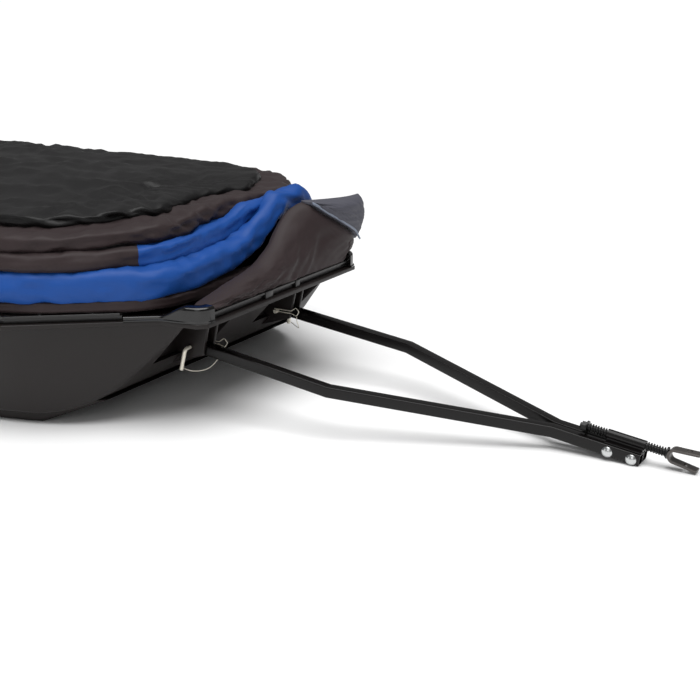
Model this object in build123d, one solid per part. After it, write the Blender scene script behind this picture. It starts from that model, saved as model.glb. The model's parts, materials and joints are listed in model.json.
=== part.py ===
"""Towed shelter sled: moulded tub, folded fabric shelter and a rigid two-arm tow hitch.

Millimetres. +X points forward to the tow clevis, +Y to the sled's left side, +Z up, and the
floor is Z = 0. The origin lies on the floor, midway between the stern and the clevis tips.
Positions on the sled are first given from the hitch hinge (x from the hinge axis), and the
hitch is drawn in its own line: s along the drawbar from the hinge, n square to it, upward.
"""
from build123d import *
import os
from math import atan2, cos, degrees, hypot, pi, radians, sin, tan

os.makedirs("parts", exist_ok=True)

# ---------------------------------------------------------------- driving dimensions
# Tub, x from the hinge axis
RIM_LENGTH = 1950.0            # bow edge to stern edge of the rim
RIM_HALF_WIDTH = 566.0
RIM_TOP = 258.0                # top face of the moulded rim
RIM_THICK = 8.0
LIP_DROP = 11.0                # depth of the rim's turned-down edge
LIP_THICK = 7.0
BOW_EDGE = 140.0               # how far the rim's straight front edge stands ahead of the hinge
BOW_HALF_WIDTH = 322.0         # half of that straight edge
SHOULDER_X = 34.0              # where the rim starts to spread towards its full width
SHOULDER_Y = 353.0
SPREAD = 0.764                 # sideways run of the spreading rim for each mm towards the stern
TUB_WALL = 6.0
CHINE_HEIGHT = 28.0            # lower edge of the side walls along the flat bottom
BOW_RISE = 46.4                # slope of the bow plate, degrees
BOW_CORNER_X = -130.0          # where the bow plate's line meets the chine's level
BOW_RADIUS = 280.0             # upturn from the chine into the bow plate
FLARE = 25.0                   # each side wall leans out by this much from floor to rim
KEEL_INSET = 20.0              # skid under the tub, in from the side walls
RECESS_OUT = 318.0             # outer side of the recess beside each hitch pocket
RECESS_IN = 85.0               # inner side
OVERHANG = 17.0                # rim beyond the side walls
SIDE_EASE = 220.0              # length of the soft curve where the spreading sides turn aft
SHELF = 36.0                   # width of the rim that carries the rails, in from its edge

# Hitch
TUBE = 25.4                    # square tube, 1 inch
TUBE_WALL = 2.0
HINGE_Z = 154.0
PITCH = 7.68                   # slope of the hitch when its tip rests on the floor
ARM_Y = 187.7                  # arm centre line at the hinge
ARM_SPLAY_Y = 193.3            # arm centre line at the first bend
FIRST_BEND = 374.0
SECOND_BEND = 845.0
ARM_END = 1049.0
ARM_TAIL = 18.0                # arm beyond the hinge pin, into the pocket
WEB = 5.0                      # coupler web clamped between the arms
ROD_N = 27.0                   # draw rod axis above the arm centre lines
ROD_R = 6.35
SLEEVE_R = 11.0
SLEEVE = (964.0, 1050.0)
SPRING_LENGTH = 46.0
SPRING_WIRE = 3.2
SPRING_TURNS = 7
THRUST_WASHER = 3.0
THRUST_WASHER_R = 14.0
TRAVEL = 20.0                  # draw travel each way
STRAP = 5.5                    # clevis strap thickness
STRAP_WIDTH = 24.0
CLEVIS_HOLE = 43.0             # from the front washer to the tow pin hole
CLEVIS_TIP = 68.0
CLEVIS_ROOT_N = 13.5           # prong centre from the rod axis, at the yoke
CLEVIS_TIP_N = 18.5
TOW_HOLE_R = 6.6
BOLT_S = (977.0, 1031.0)
BOLT_N = -3.3
BOLT_R = 6.2

# Pins and pockets
PIN_R = 4.75
CLIP_R = 1.2
CLIP_Y = 157.0                 # clip hole, inboard of the pocket
EAR = 9.0                      # pocket side wall
SLOT_CLEAR = 1.2               # arm to pocket wall, each side
HANDLE_Y = 222.0

# Rails, caps and fabric
RAIL_WIDTH = 22.0
RAIL_HEIGHT = 18.0
RAIL_INSET = 9.0               # rail back from the rim's edge
RAIL_LEDGE = 6.0               # the rail's outer edge is a ledge this thick, over an undercut
RAIL_UNDERCUT = 6.0
CAP_HEIGHT = 36.0
RAIL_GAPS = (-85.0, -52.0, 46.0, 66.0)   # ends of the front rail's three lengths
POLE_R = 11.0

# Clearances
RUN = 0.08                     # radial, pin or rod turning in its hole
FIT = 0.1                      # radial, bolt in its hole
SOFT = 0.5                     # fabric to its neighbour

# ---------------------------------------------------------------- derived places
STERN = BOW_EDGE - RIM_LENGTH
FRONT_WASHER = SLEEVE[1] + SPRING_LENGTH
CLEVIS_S = FRONT_WASHER + THRUST_WASHER
TIP_X = (CLEVIS_S + CLEVIS_TIP) * cos(radians(PITCH)) + (ROD_N + CLEVIS_TIP_N + STRAP / 2) * sin(radians(PITCH))
HINGE_X = -(STERN + TIP_X) / 2
HINGE = Pos(HINGE_X, 0, 0)
HITCH = Pos(HINGE_X, 0, HINGE_Z) * Rot(0, PITCH, 0)
SPREAD_END = SHOULDER_X - (RIM_HALF_WIDTH - SHOULDER_Y) / SPREAD
WALL_TOP = RIM_TOP - RIM_THICK
PILE_FLOOR = RIM_TOP + RAIL_HEIGHT + SOFT

nodes = {}


def keep(name, *solids):
    """Store one node made of one or more separate solids."""
    nodes[name] = list(solids)


def outline(half):
    """Closed outline from one side's points, listed from bow to stern."""
    return [(x, -y) for x, y in half] + [(x, y) for x, y in reversed(half)]


def inset(points, distances):
    """Move each edge of a closed outline inwards by its own distance."""
    count = len(points)
    area = sum(points[i][0] * points[(i + 1) % count][1] - points[(i + 1) % count][0] * points[i][1]
               for i in range(count))
    turn = 1 if area > 0 else -1
    lines = []
    for i, (x0, y0) in enumerate(points):
        x1, y1 = points[(i + 1) % count]
        length = hypot(x1 - x0, y1 - y0)
        ux, uy = (x1 - x0) / length, (y1 - y0) / length
        push = distances[i] * turn
        lines.append((x0 - uy * push, y0 + ux * push, ux, uy))
    moved = []
    for i in range(count):
        ax, ay, ux, uy = lines[i - 1]
        bx, by, vx, vy = lines[i]
        cross = ux * vy - uy * vx
        t = ((bx - ax) * vy - (by - ay) * vx) / cross
        moved.append((ax + ux * t, ay + uy * t))
    return moved


def ease_corner(before, corner, after, reach, steps=8):
    """Points of a soft curve that replaces a corner, as far along each side as the reach."""
    def along(end):
        length = hypot(end[0] - corner[0], end[1] - corner[1])
        return (corner[0] + (end[0] - corner[0]) * reach / length, corner[1] + (end[1] - corner[1]) * reach / length)
    (ax, ay), (bx, by) = along(before), along(after)
    curve = []
    for i in range(steps + 1):
        t = i / steps
        curve.append(tuple(a * (1 - t) ** 2 + c * 2 * t * (1 - t) + b * t * t
                           for a, c, b in zip((ax, ay), corner, (bx, by))))
    return curve


def shrink(points, distance):
    """Outline moved inwards by one distance all round."""
    return inset(points, [distance] * len(points))


def slab(points, low, high):
    """Upright prism on an outline."""
    return Pos(0, 0, low) * extrude(make_face(Polyline(*points, close=True)), high - low)


def stack(levels):
    """Ruled solid through outlines at rising heights."""
    solid = None
    for (z0, low), (z1, high) in zip(levels, levels[1:]):
        wires = [Polyline(*[(x, y, z) for x, y in pts], close=True) for z, pts in ((z0, low), (z1, high))]
        piece = Solid.make_loft([Wire(w.edges()) for w in wires], ruled=True)
        solid = piece if solid is None else solid + piece
    return solid


def band(path, half_width, low, high):
    """Flat bar along a plan path, with mitred corners."""
    def side(sign):
        points = []
        for i, (x, y) in enumerate(path):
            before = path[i - 1] if i else None
            after = path[i + 1] if i + 1 < len(path) else None
            headings = [atan2(b[1] - a[1], b[0] - a[0]) for a, b in ((before, (x, y)), ((x, y), after))
                        if a is not None and b is not None]
            heading = sum(headings) / len(headings)
            reach = half_width / cos((headings[-1] - headings[0]) / 2) * sign
            points.append((x - sin(heading) * reach, y + cos(heading) * reach))
        return points
    return slab(side(1) + side(-1)[::-1], low, high)


def bar(radius, start, end):
    """Round bar between two points."""
    axis = Vector(*end) - Vector(*start)
    return Solid.make_cylinder(radius, axis.length, Plane(origin=start, z_dir=axis))


def mirrored(shape):
    """The same piece on the other side of the sled."""
    return mirror(shape, about=Plane.XZ)


def pair(name, shape):
    """One node on each side; the shape is given on the left (+Y) side."""
    keep(name + "_left", shape)
    keep(name + "_right", mirrored(shape))


# ---------------------------------------------------------------- tub
WIDE = 2 * RIM_HALF_WIDTH + 60


def across(profile):
    """Prism through the whole width, on a side profile given as (x, z) points."""
    face = profile if isinstance(profile, Face) else make_face(Polyline(*[(x, 0, z) for x, z in profile], close=True))
    return Pos(0, -WIDE / 2, 0) * extrude(face, WIDE, dir=(0, 1, 0))


def bow_profile(wall):
    """Side profile above the chine, moved in by a wall: flat, upturn, raked bow plate."""
    slope = tan(radians(BOW_RISE))
    low = CHINE_HEIGHT + wall
    corner = BOW_CORNER_X + wall / slope - wall / sin(radians(BOW_RISE))
    top = RIM_TOP + 40
    path = FilletPolyline((STERN - 50, 0, low), (corner, 0, low), (corner + (top - low) / slope, 0, top),
                          radius=BOW_RADIUS - wall)
    back = Polyline(path @ 1, (STERN - 50, 0, top), path @ 0)
    return Wire(path.edges() + back.edges())


def side_walls(move):
    """Flared prism between the side walls and the transom, moved in by a wall."""
    shoulder = (SHOULDER_X, SHOULDER_Y - 12)
    full = (SPREAD_END - 4, RIM_HALF_WIDTH - OVERHANG)
    stern = (STERN + OVERHANG, RIM_HALF_WIDTH - OVERHANG)
    half = [(BOW_EDGE - 20, SHOULDER_Y - 28), (SHOULDER_X + 36, SHOULDER_Y - 18), shoulder,
            *ease_corner(shoulder, full, stern, SIDE_EASE), stern]
    foot = make_face(Polyline(*shrink(outline(half), FLARE + move), close=True))
    height = RIM_TOP + 41
    return Pos(0, 0, -1) * extrude(foot, height, taper=-degrees(atan2(FLARE + 4, height)))


def trim(high):
    """Half-space below a level."""
    return Pos(0, 0, high - 500) * Box(6000, WIDE, 1000)


keel_top = CHINE_HEIGHT + 30
keel_front = BOW_CORNER_X - 118
keel = across([(STERN + 62, 0), (keel_front, 0), (BOW_CORNER_X + 25, keel_top), (STERN + 50, keel_top)])


keel_hollow = across([(STERN + 62 + TUB_WALL, TUB_WALL), (keel_front, TUB_WALL),
                      (BOW_CORNER_X + 2, keel_top - 8), (STERN + 50 + TUB_WALL, keel_top - 8)])


def hull_outside():
    """Outer skin of the tub up to the rim."""
    body = across(Face(bow_profile(0))) & side_walls(0) & trim(WALL_TOP + 1)
    return body + (keel & side_walls(KEEL_INSET))


def tub_cavity():
    """Space inside the tub, one wall in from the skin and behind the pockets' recesses."""
    space = across(Face(bow_profile(TUB_WALL))) & side_walls(TUB_WALL)
    space = space & (trim(WALL_TOP) + slab(shrink(outline(rim_half()), SHELF), WALL_TOP - 1, RIM_TOP + 5))
    ahead = Pos(POCKET_BACK - TUB_WALL + 300, 0, POCKET_FLOOR - TUB_WALL + 100) * Box(600, WIDE, 200)
    channel = Box(600, 2 * (RECESS_IN - TUB_WALL), 600)
    return space - (ahead - channel) + (keel_hollow & side_walls(KEEL_INSET + TUB_WALL))


def recesses():
    """Open recesses on both sides of the left pocket, so that the pin and clip can be reached."""
    low, high = POCKET_FLOOR, WALL_TOP
    outer = Pos(POCKET_BACK, POCKET_OUT, low) * Box(
        300, RECESS_OUT - POCKET_OUT, high - low, align=(Align.MIN, Align.MIN, Align.MIN))
    inner = Pos(POCKET_BACK, RECESS_IN, low) * Box(
        300, POCKET_IN - RECESS_IN, high - low, align=(Align.MIN, Align.MIN, Align.MIN))
    return outer + inner


def rim_half():
    """Rim outline on one side, bow to stern."""
    return [(BOW_EDGE, BOW_HALF_WIDTH), (BOW_EDGE - 20, SHOULDER_Y - 10), (SHOULDER_X, SHOULDER_Y),
            (SPREAD_END, RIM_HALF_WIDTH), (STERN + 30, RIM_HALF_WIDTH), (STERN, RIM_HALF_WIDTH - 30)]


POCKET_IN = ARM_Y - TUBE / 2 - SLOT_CLEAR - EAR
POCKET_OUT = ARM_Y + TUBE / 2 + SLOT_CLEAR + EAR
POCKET_BACK = -42.0
POCKET_FLOOR = 137.0
SLOT_BACK = -32.0
SLOT_FLOOR = 126.0
SLOT_TOP = 232.0


def pocket():
    """Hitch pocket on the left side: two ears and a back wall, joined to the bow wall."""
    lean = 0.24
    front_low = 36.0
    front_high = front_low + (WALL_TOP - POCKET_FLOOR) * lean
    side = Polyline((POCKET_BACK - 20, 0, POCKET_FLOOR - 32), (front_low, 0, POCKET_FLOOR),
                    (front_high, 0, WALL_TOP), (POCKET_BACK - 20, 0, WALL_TOP), close=True)
    block = extrude(make_face(side), POCKET_OUT - POCKET_IN, dir=(0, 1, 0))
    return Pos(0, POCKET_IN, 0) * block


def pocket_cuts():
    """Slot for the arm and the pin's hole."""
    width = POCKET_OUT - POCKET_IN - 2 * EAR
    length = BOW_EDGE - SLOT_BACK - LIP_THICK - 2
    slot = Pos(SLOT_BACK + length / 2, ARM_Y, (SLOT_FLOOR + SLOT_TOP) / 2) * Box(
        length, width, SLOT_TOP - SLOT_FLOOR)
    hole = bar(PIN_R + RUN, (0, POCKET_IN - 5, HINGE_Z), (0, POCKET_OUT + 5, HINGE_Z))
    return slot + hole


cavity = tub_cavity()
rim = outline(rim_half())
flange = slab(rim, WALL_TOP, RIM_TOP)
lip = slab(rim, RIM_TOP - LIP_DROP, WALL_TOP + 1) - slab(shrink(rim, LIP_THICK), RIM_TOP - LIP_DROP - 1, WALL_TOP + 2)
tub = hull_outside() - recesses() - mirrored(recesses()) + flange + lip - cavity
for block, cuts in ((pocket(), pocket_cuts()), (mirrored(pocket()), mirrored(pocket_cuts()))):
    tub = tub + block - cuts


# ---------------------------------------------------------------- rails, caps, screws
RAIL_LOW, RAIL_TOP = RIM_TOP, RIM_TOP + RAIL_HEIGHT
rail_line = RAIL_INSET + RAIL_WIDTH / 2
CAP_Y = 296.0                  # where the front cap starts on the bow edge
CAP_TAIL_X = SHOULDER_X - 78   # where it ends on the side
STERN_CAP = 90.0
SCREW_R = 2.4
SCREW_HEAD_R = 5.0
SCREW_BITE = 6.5               # screw length in the rim, which it doesn't go through
GAP = 1.0                      # between the ends of rails and caps

rail_path = shrink(rim, rail_line)
left = [p for p in rail_path if p[1] > 0]            # stern to bow on the left side
corner = {name: left[i] for name, i in (("stern", 0), ("stern_side", 1), ("full", 2), ("shoulder", 3),
                                        ("cap", 4), ("bow", 5))}


def cut_box(x0, x1, y0, y1):
    """Tall box used to trim a piece in plan."""
    return Pos((x0 + x1) / 2, (y0 + y1) / 2, RIM_TOP) * Box(x1 - x0, y1 - y0, 600)


ring = slab(shrink(rim, RAIL_INSET), RAIL_TOP - RAIL_LEDGE, RAIL_TOP) + slab(
    shrink(rim, RAIL_INSET + RAIL_UNDERCUT), RAIL_LOW, RAIL_TOP - RAIL_LEDGE)
ring = ring - slab(shrink(rim, RAIL_INSET + RAIL_WIDTH), RAIL_LOW - 1, RAIL_TOP + 1)
far_side = 2 * RIM_HALF_WIDTH
front_region = [cut_box(SHOULDER_X, BOW_EDGE + 9, y0, y1) for y0, y1 in
                ((-CAP_Y + GAP, RAIL_GAPS[0]), (RAIL_GAPS[1], RAIL_GAPS[2]), (RAIL_GAPS[3], CAP_Y - GAP))]
front_rails = [(ring & region).solids()[0] for region in front_region]
side_rail = (ring & cut_box(STERN + STERN_CAP + GAP, CAP_TAIL_X - GAP, 0, far_side)).solids()[0]
stern_rail = (ring & cut_box(STERN - 9, STERN + STERN_CAP, -RIM_HALF_WIDTH + STERN_CAP + GAP,
                             RIM_HALF_WIDTH - STERN_CAP - GAP)).solids()[0]


def rail_screws():
    """Screw places on the rails: point, and the rail each one goes into."""
    places = []
    for y in (-262, -190, -118, -3, 94, 180, 262):
        places.append((BOW_EDGE - rail_line, y))
    step = (SPREAD_END - 60 - STERN - STERN_CAP - 60) / 5
    for sign in (-1, 1):
        for i in range(6):
            places.append((SPREAD_END - 60 - i * step, sign * (RIM_HALF_WIDTH - rail_line)))
        for share in (0.45, 0.78):
            (x0, y0), (x1, y1) = corner["shoulder"], corner["full"]
            places.append((x0 + (x1 - x0) * share, sign * (y0 + (y1 - y0) * share)))
    for y in (-360, -120, 120, 360):
        places.append((STERN + rail_line, y))
    return places


screw_shanks = [bar(SCREW_R + FIT, (x, y, RIM_TOP - SCREW_BITE - 0.3), (x, y, RAIL_TOP + 1))
                for x, y in rail_screws()]
screws = []
for x, y in rail_screws():
    shank = bar(SCREW_R, (x, y, RIM_TOP - SCREW_BITE), (x, y, RAIL_TOP))
    head = bar(SCREW_HEAD_R, (x, y, RAIL_TOP), (x, y, RAIL_TOP + 0.45))
    screws.append(HINGE * (shank + head))


def drilled(shape):
    """The piece with the screw holes that fall on it."""
    box = shape.bounding_box()
    return shape - [hole for (x, y), hole in zip(rail_screws(), screw_shanks)
                    if box.min.X < x < box.max.X and box.min.Y < y < box.max.Y]


keep("front_rail_right", HINGE * drilled(front_rails[0]))
keep("front_rail_centre", HINGE * drilled(front_rails[1]))
keep("front_rail_left", HINGE * drilled(front_rails[2]))
keep("side_rail_left", HINGE * drilled(side_rail))
keep("side_rail_right", HINGE * drilled(mirrored(side_rail)))
keep("stern_rail", HINGE * drilled(stern_rail))
keep("rail_screws", *screws)


def rail_clip(y0, y1):
    """Joiner that bridges the gap between two lengths of the front rail."""
    width = RAIL_WIDTH + 4
    return Pos(HINGE_X + BOW_EDGE - rail_line, (y0 + y1) / 2, RIM_TOP + RAIL_HEIGHT / 2) * Box(
        width, y1 - y0 - 2 * GAP, RAIL_HEIGHT)


keep("rail_clips", rail_clip(*RAIL_GAPS[:2]), rail_clip(*RAIL_GAPS[2:]))


CAP_STEP = 5.0


def corner_cap(height, x0, x1, y0):
    """Cover over a corner of the rim, left side, with a stepped top edge."""
    cover = slab(shrink(rim, 1.0), RIM_TOP, RIM_TOP + height - CAP_STEP)
    top = slab(shrink(rim, 1.0 + CAP_STEP), RIM_TOP + height - CAP_STEP, RIM_TOP + height)
    hollow = slab(shrink(rim, RAIL_INSET + RAIL_WIDTH + 1), RIM_TOP - 1, RIM_TOP + height + 1)
    return ((cover + top - hollow) & cut_box(x0, x1, y0, far_side)).solids()[0]


pair("front_cap", HINGE * corner_cap(CAP_HEIGHT, CAP_TAIL_X, BOW_EDGE + 9, CAP_Y))
pair("stern_cap", HINGE * corner_cap(RAIL_HEIGHT, STERN - 9, STERN + STERN_CAP, RIM_HALF_WIDTH - STERN_CAP))


# ---------------------------------------------------------------- inside the tub
HUB_X = -1300.0
HUB_Z = 236.0
POLE_STEP = 30.0
BOW_FRONT = -300.0


def pole_bow(index):
    """U-shaped tent pole, folded down flat: both legs and the cross length."""
    y = 478.0 - index * POLE_STEP
    x = BOW_FRONT - index * POLE_STEP
    path = FilletPolyline((HUB_X, -y, HUB_Z), (x, -y, HUB_Z), (x, y, HUB_Z), (HUB_X, y, HUB_Z), radius=70)
    section = Plane(origin=(HUB_X, -y, HUB_Z), z_dir=(1, 0, 0)) * (Circle(POLE_R) - Circle(POLE_R - 1.5))
    return HINGE * sweep(section, path=path)


for index, name in enumerate(("outer_pole_bow", "middle_pole_bow", "inner_pole_bow")):
    keep(name, pole_bow(index))

hub_length, hub_height = 60.0, 44.0
hub_block = Pos(HUB_X - hub_length / 2, 500, HUB_Z) * Box(hub_length, 168, hub_height)
hub = (hub_block & cavity).solids()[0]
hub_bolt_places = [(HUB_X - hub_length / 2 + dx, HUB_Z - 8) for dx in (-15, 15)]
hub_bolts = []
HUB_FACE = 416.0               # inboard face of each hub
BOLT_END = RIM_HALF_WIDTH - OVERHANG - 14   # the bolts stop in the hub, short of the tub's wall
for x, z in hub_bolt_places:
    hub = hub - bar(5 + FIT, (x, HUB_FACE - 6, z), (x, BOLT_END + 0.5, z))
    hub_bolts.append(bar(5, (x, HUB_FACE, z), (x, BOLT_END, z)) + bar(9, (x, HUB_FACE - 4, z), (x, HUB_FACE, z)))
tub = tub - screw_shanks
keep("tub", HINGE * tub)
pair("pole_hub", HINGE * hub)
keep("hub_bolts", *[HINGE * b for b in hub_bolts], *[HINGE * mirrored(b) for b in hub_bolts])

SEAT_X = (-760.0, -1000.0)
SEAT_Z = 150.0
BENCH_TUBE = 30.0


def bench_tube(x):
    """Square cross tube between the side walls."""
    tube = Pos(x, 0, SEAT_Z) * (Box(BENCH_TUBE, 1200, BENCH_TUBE) - Box(BENCH_TUBE - 4, 1201, BENCH_TUBE - 4))
    return (tube & cavity).solids()[0]


keep("bench_tubes", *[HINGE * bench_tube(x) for x in SEAT_X])
seat_x = HINGE_X + sum(SEAT_X) / 2
for side_name, sign in (("left", 1), ("right", -1)):
    pan = Pos(seat_x, sign * 235, SEAT_Z + BENCH_TUBE / 2 + 4) * Box(380, 400, 8)
    keep("seat_pan_" + side_name, fillet(pan.edges().filter_by(Axis.Z), 30))
    pad = Pos(seat_x, sign * 235, SEAT_Z + BENCH_TUBE / 2 + 8 + SOFT + 20) * Box(370, 390, 40)
    keep("seat_pad_" + side_name, fillet(pad.edges().filter_by(Axis.Z), 35))

# ---------------------------------------------------------------- folded shelter on the rim
WALL_BACK = 62.0               # back of the taut front panel
WALL_FRONT = 134.0
PILE_FRONT = 56.0


cap_room = slab(rim, RIM_TOP, RIM_TOP + CAP_HEIGHT + 1) & cut_box(CAP_TAIL_X - 2, BOW_EDGE + 9, CAP_Y - 2, 600)
LAYER_WIDTH = 150.0            # lower layers lie round the rim and are open in the middle


def layer(name, edge, low, high, ring_width):
    """One folded layer of the pile behind the front panel, whole or as a ring round the rim."""
    bow_y = SHOULDER_Y - (PILE_FRONT - SHOULDER_X) * SPREAD
    half = [(PILE_FRONT, bow_y), (SPREAD_END, RIM_HALF_WIDTH), (STERN, RIM_HALF_WIDTH)]
    block = slab(shrink(outline(half), edge), low, high)
    block = fillet(block.edges().filter_by(Axis.Z), 45)
    if ring_width:
        block = block - slab(shrink(outline(half), edge + ring_width), low - 1, high + 1)
    keep(name, HINGE * (block - cap_room - mirrored(cap_room)))


layers = (("skirt_fabric", 10.0, 0.0, 26.0, 60.0), ("blue_fabric", 12.0, 26.0, 92.0, LAYER_WIDTH),
          ("brown_fold", 30.0, 92.0, 132.0, LAYER_WIDTH), ("brown_roll", 56.0, 132.0, 172.0, 0.0),
          ("black_bundle", 130.0, 172.0, 204.0, 0.0))
for name, edge, low, high, ring_width in layers:
    layer(name, edge, PILE_FLOOR + low, PILE_FLOOR + high - SOFT, ring_width)

PANEL_HALF = 318.0             # half width of the front panel at the rails
# Right edge of the panel, where the side folds show past it: (y, z) from the cap upward
PANEL_EDGE = ((-318, 292), (-198, 300), (-26, 326), (38, 363), (78, 413), (98, 432))
PANEL_SIDE = 326.0             # height of its left corner
PANEL_TOP = 432.0
PANEL_LEFT = 150.0             # where its level top edge ends
GREY_TOP = 436.0
GREY_SIDE = 424.0
GREY_LEFT = 170.0

panel = Polyline(*[(WALL_BACK, y, z) for y, z in (
    (-PANEL_HALF, PILE_FLOOR), (PANEL_HALF, PILE_FLOOR), (PANEL_HALF, PANEL_SIDE), (PANEL_LEFT, PANEL_TOP),
    *reversed(PANEL_EDGE))], close=True)
front_panel = extrude(make_face(panel), WALL_FRONT - WALL_BACK, dir=(1, 0, 0)) & slab(shrink(rim, 8), RIM_TOP, 600)
front_panel = front_panel - cap_room - mirrored(cap_room)
keep("front_panel", HINGE * front_panel.solids()[0])
lift = SOFT / cos(atan2(PANEL_TOP - PANEL_SIDE, PANEL_HALF - PANEL_LEFT))
grey = Polyline((WALL_BACK, PANEL_HALF, PANEL_SIDE + lift), (WALL_BACK, PANEL_HALF, GREY_SIDE),
                (WALL_BACK, GREY_LEFT, GREY_TOP), (WALL_BACK, PANEL_LEFT, PANEL_TOP + lift), close=True)
keep("grey_panel", HINGE * extrude(make_face(grey), WALL_FRONT - WALL_BACK - 8, dir=(1, 0, 0)))

# ---------------------------------------------------------------- hitch
ARM_MEET = TUBE / 2 + WEB / 2


def arm_path():
    """Plan line of the left arm."""
    return [(-ARM_TAIL, ARM_Y), (0, ARM_Y), (FIRST_BEND, ARM_SPLAY_Y), (SECOND_BEND, ARM_MEET),
            (ARM_END, ARM_MEET)]


def arm():
    """Bent square tube with its pivot and bolt holes."""
    path = arm_path()
    tube = band(path, TUBE / 2, -TUBE / 2, TUBE / 2)
    inner = [(path[0][0] - 1, path[0][1])] + path[1:-1] + [(path[-1][0] + 1, path[-1][1])]
    tube = tube - band(inner, TUBE / 2 - TUBE_WALL, -TUBE / 2 + TUBE_WALL, TUBE / 2 - TUBE_WALL)
    tube = tube - bar(BUSH_R + FIT, (0, ARM_Y - TUBE, 0), (0, ARM_Y + TUBE, 0))
    for s in BOLT_S:
        tube = tube - bar(BOLT_R + FIT, (s, 0, BOLT_N), (s, TUBE * 2, BOLT_N))
    return tube


BUSH_R = 7.0
pair("hitch_arm", HITCH * arm())
bush = bar(BUSH_R, (0, ARM_Y - TUBE / 2, 0), (0, ARM_Y + TUBE / 2, 0)) - bar(
    PIN_R + RUN, (0, ARM_Y - TUBE, 0), (0, ARM_Y + TUBE, 0))
pair("arm_bush", HITCH * bush)

web_low = -TUBE / 2 + 2
web_mid_s = (SLEEVE[0] + SLEEVE[1]) / 2
web_length = SLEEVE[1] - SLEEVE[0] - 4
web = Pos(web_mid_s, 0, (web_low + ROD_N) / 2) * Box(web_length, WEB, ROD_N - web_low)
saddle = Pos(web_mid_s, 0, (TUBE / 2 + ROD_N - 4) / 2) * Box(web_length, 2 * SLEEVE_R - 3, ROD_N - 4 - TUBE / 2)
plate = Pos(web_mid_s, 0, TUBE / 2 + 1.5) * Box(web_length, 2 * TUBE - 6, 3)
bracket = web + saddle + plate - bar(SLEEVE_R, (SLEEVE[0] - 5, 0, ROD_N), (SLEEVE[1] + 5, 0, ROD_N))
for s in BOLT_S:
    bracket = bracket - bar(BOLT_R + FIT, (s, -20, BOLT_N), (s, 20, BOLT_N))
keep("coupler_bracket", HITCH * bracket)
sleeve = bar(SLEEVE_R, (SLEEVE[0], 0, ROD_N), (SLEEVE[1], 0, ROD_N)) - bar(
    ROD_R + RUN, (SLEEVE[0] - 1, 0, ROD_N), (SLEEVE[1] + 1, 0, ROD_N))
keep("coupler_sleeve", HITCH * sleeve)

outer_face = TUBE + WEB / 2
HEAD_R = 12.0
HEAD_RISE = 5.0


def coupler_bolt(s):
    """Round-headed bolt across both arms."""
    shank = bar(BOLT_R, (s, -outer_face, BOLT_N), (s, outer_face + 16, BOLT_N))
    dome_r = (HEAD_R ** 2 + HEAD_RISE ** 2) / (2 * HEAD_RISE)
    dome = Pos(s, -outer_face - HEAD_RISE + dome_r, BOLT_N) * Sphere(dome_r)
    cap = dome & (Pos(s, -outer_face - HEAD_RISE, BOLT_N) * Box(60, 2 * HEAD_RISE, 60))
    return shank + cap


def coupler_nut(s):
    """Hexagon nut on the left arm's face."""
    hexagon = Plane(origin=(s, outer_face + 2, BOLT_N), z_dir=(0, 1, 0)) * RegularPolygon(9.5, 6, major_radius=False)
    return extrude(hexagon, 9) - bar(BOLT_R + FIT / 2, (s, 0, BOLT_N), (s, 60, BOLT_N))


keep("coupler_bolts", *[HITCH * coupler_bolt(s) for s in BOLT_S])
keep("coupler_nuts", *[HITCH * coupler_nut(s) for s in BOLT_S])
washers = [bar(13, (s, outer_face, BOLT_N), (s, outer_face + 2, BOLT_N)) - bar(
    BOLT_R + FIT / 2, (s, 0, BOLT_N), (s, 60, BOLT_N)) for s in BOLT_S]
keep("coupler_washers", *[HITCH * w for w in washers])


def spring(start):
    """Compression spring round the draw rod, resting 0.3 mm from its washer and the sleeve."""
    mean = ROD_R + 0.6 + SPRING_WIRE / 2
    ends = SPRING_WIRE / 2 + 0.3
    height = SPRING_LENGTH - 2 * ends
    helix = Helix(pitch=height / SPRING_TURNS, height=height, radius=mean)
    section = Plane(origin=helix @ 0, z_dir=helix % 0) * Circle(SPRING_WIRE / 2)
    coil = sweep(section, path=helix, is_frenet=True)
    return HITCH * (Pos(start + ends, 0, ROD_N) * Rot(0, 90, 0) * coil)


REAR_WASHER = SLEEVE[0] - SPRING_LENGTH
keep("rear_spring", spring(REAR_WASHER))
keep("front_spring", spring(SLEEVE[1]))


def thrust_washer(start, radius):
    """Flat washer that slides with the draw rod."""
    return HITCH * (bar(radius, (start, 0, ROD_N), (start + THRUST_WASHER, 0, ROD_N)) - bar(
        ROD_R + RUN, (start - 1, 0, ROD_N), (start + 9, 0, ROD_N)))


keep("rear_thrust_washer", thrust_washer(REAR_WASHER - THRUST_WASHER, THRUST_WASHER_R))
keep("front_thrust_washer", thrust_washer(FRONT_WASHER, THRUST_WASHER_R - 1))
NUT_LENGTH = 10.0
nut_s = REAR_WASHER - THRUST_WASHER - 0.3 - NUT_LENGTH
hexagon = Plane(origin=(nut_s, 0, ROD_N), z_dir=(1, 0, 0)) * RegularPolygon(9.5, 6, major_radius=False)
lock_nut = extrude(hexagon, NUT_LENGTH) - bar(ROD_R, (nut_s - 1, 0, ROD_N), (nut_s + 20, 0, ROD_N))
keep("lock_nut", HITCH * lock_nut)
keep("draw_rod", HITCH * bar(ROD_R, (nut_s - 4, 0, ROD_N), (CLEVIS_S + 0.3, 0, ROD_N)))


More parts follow.
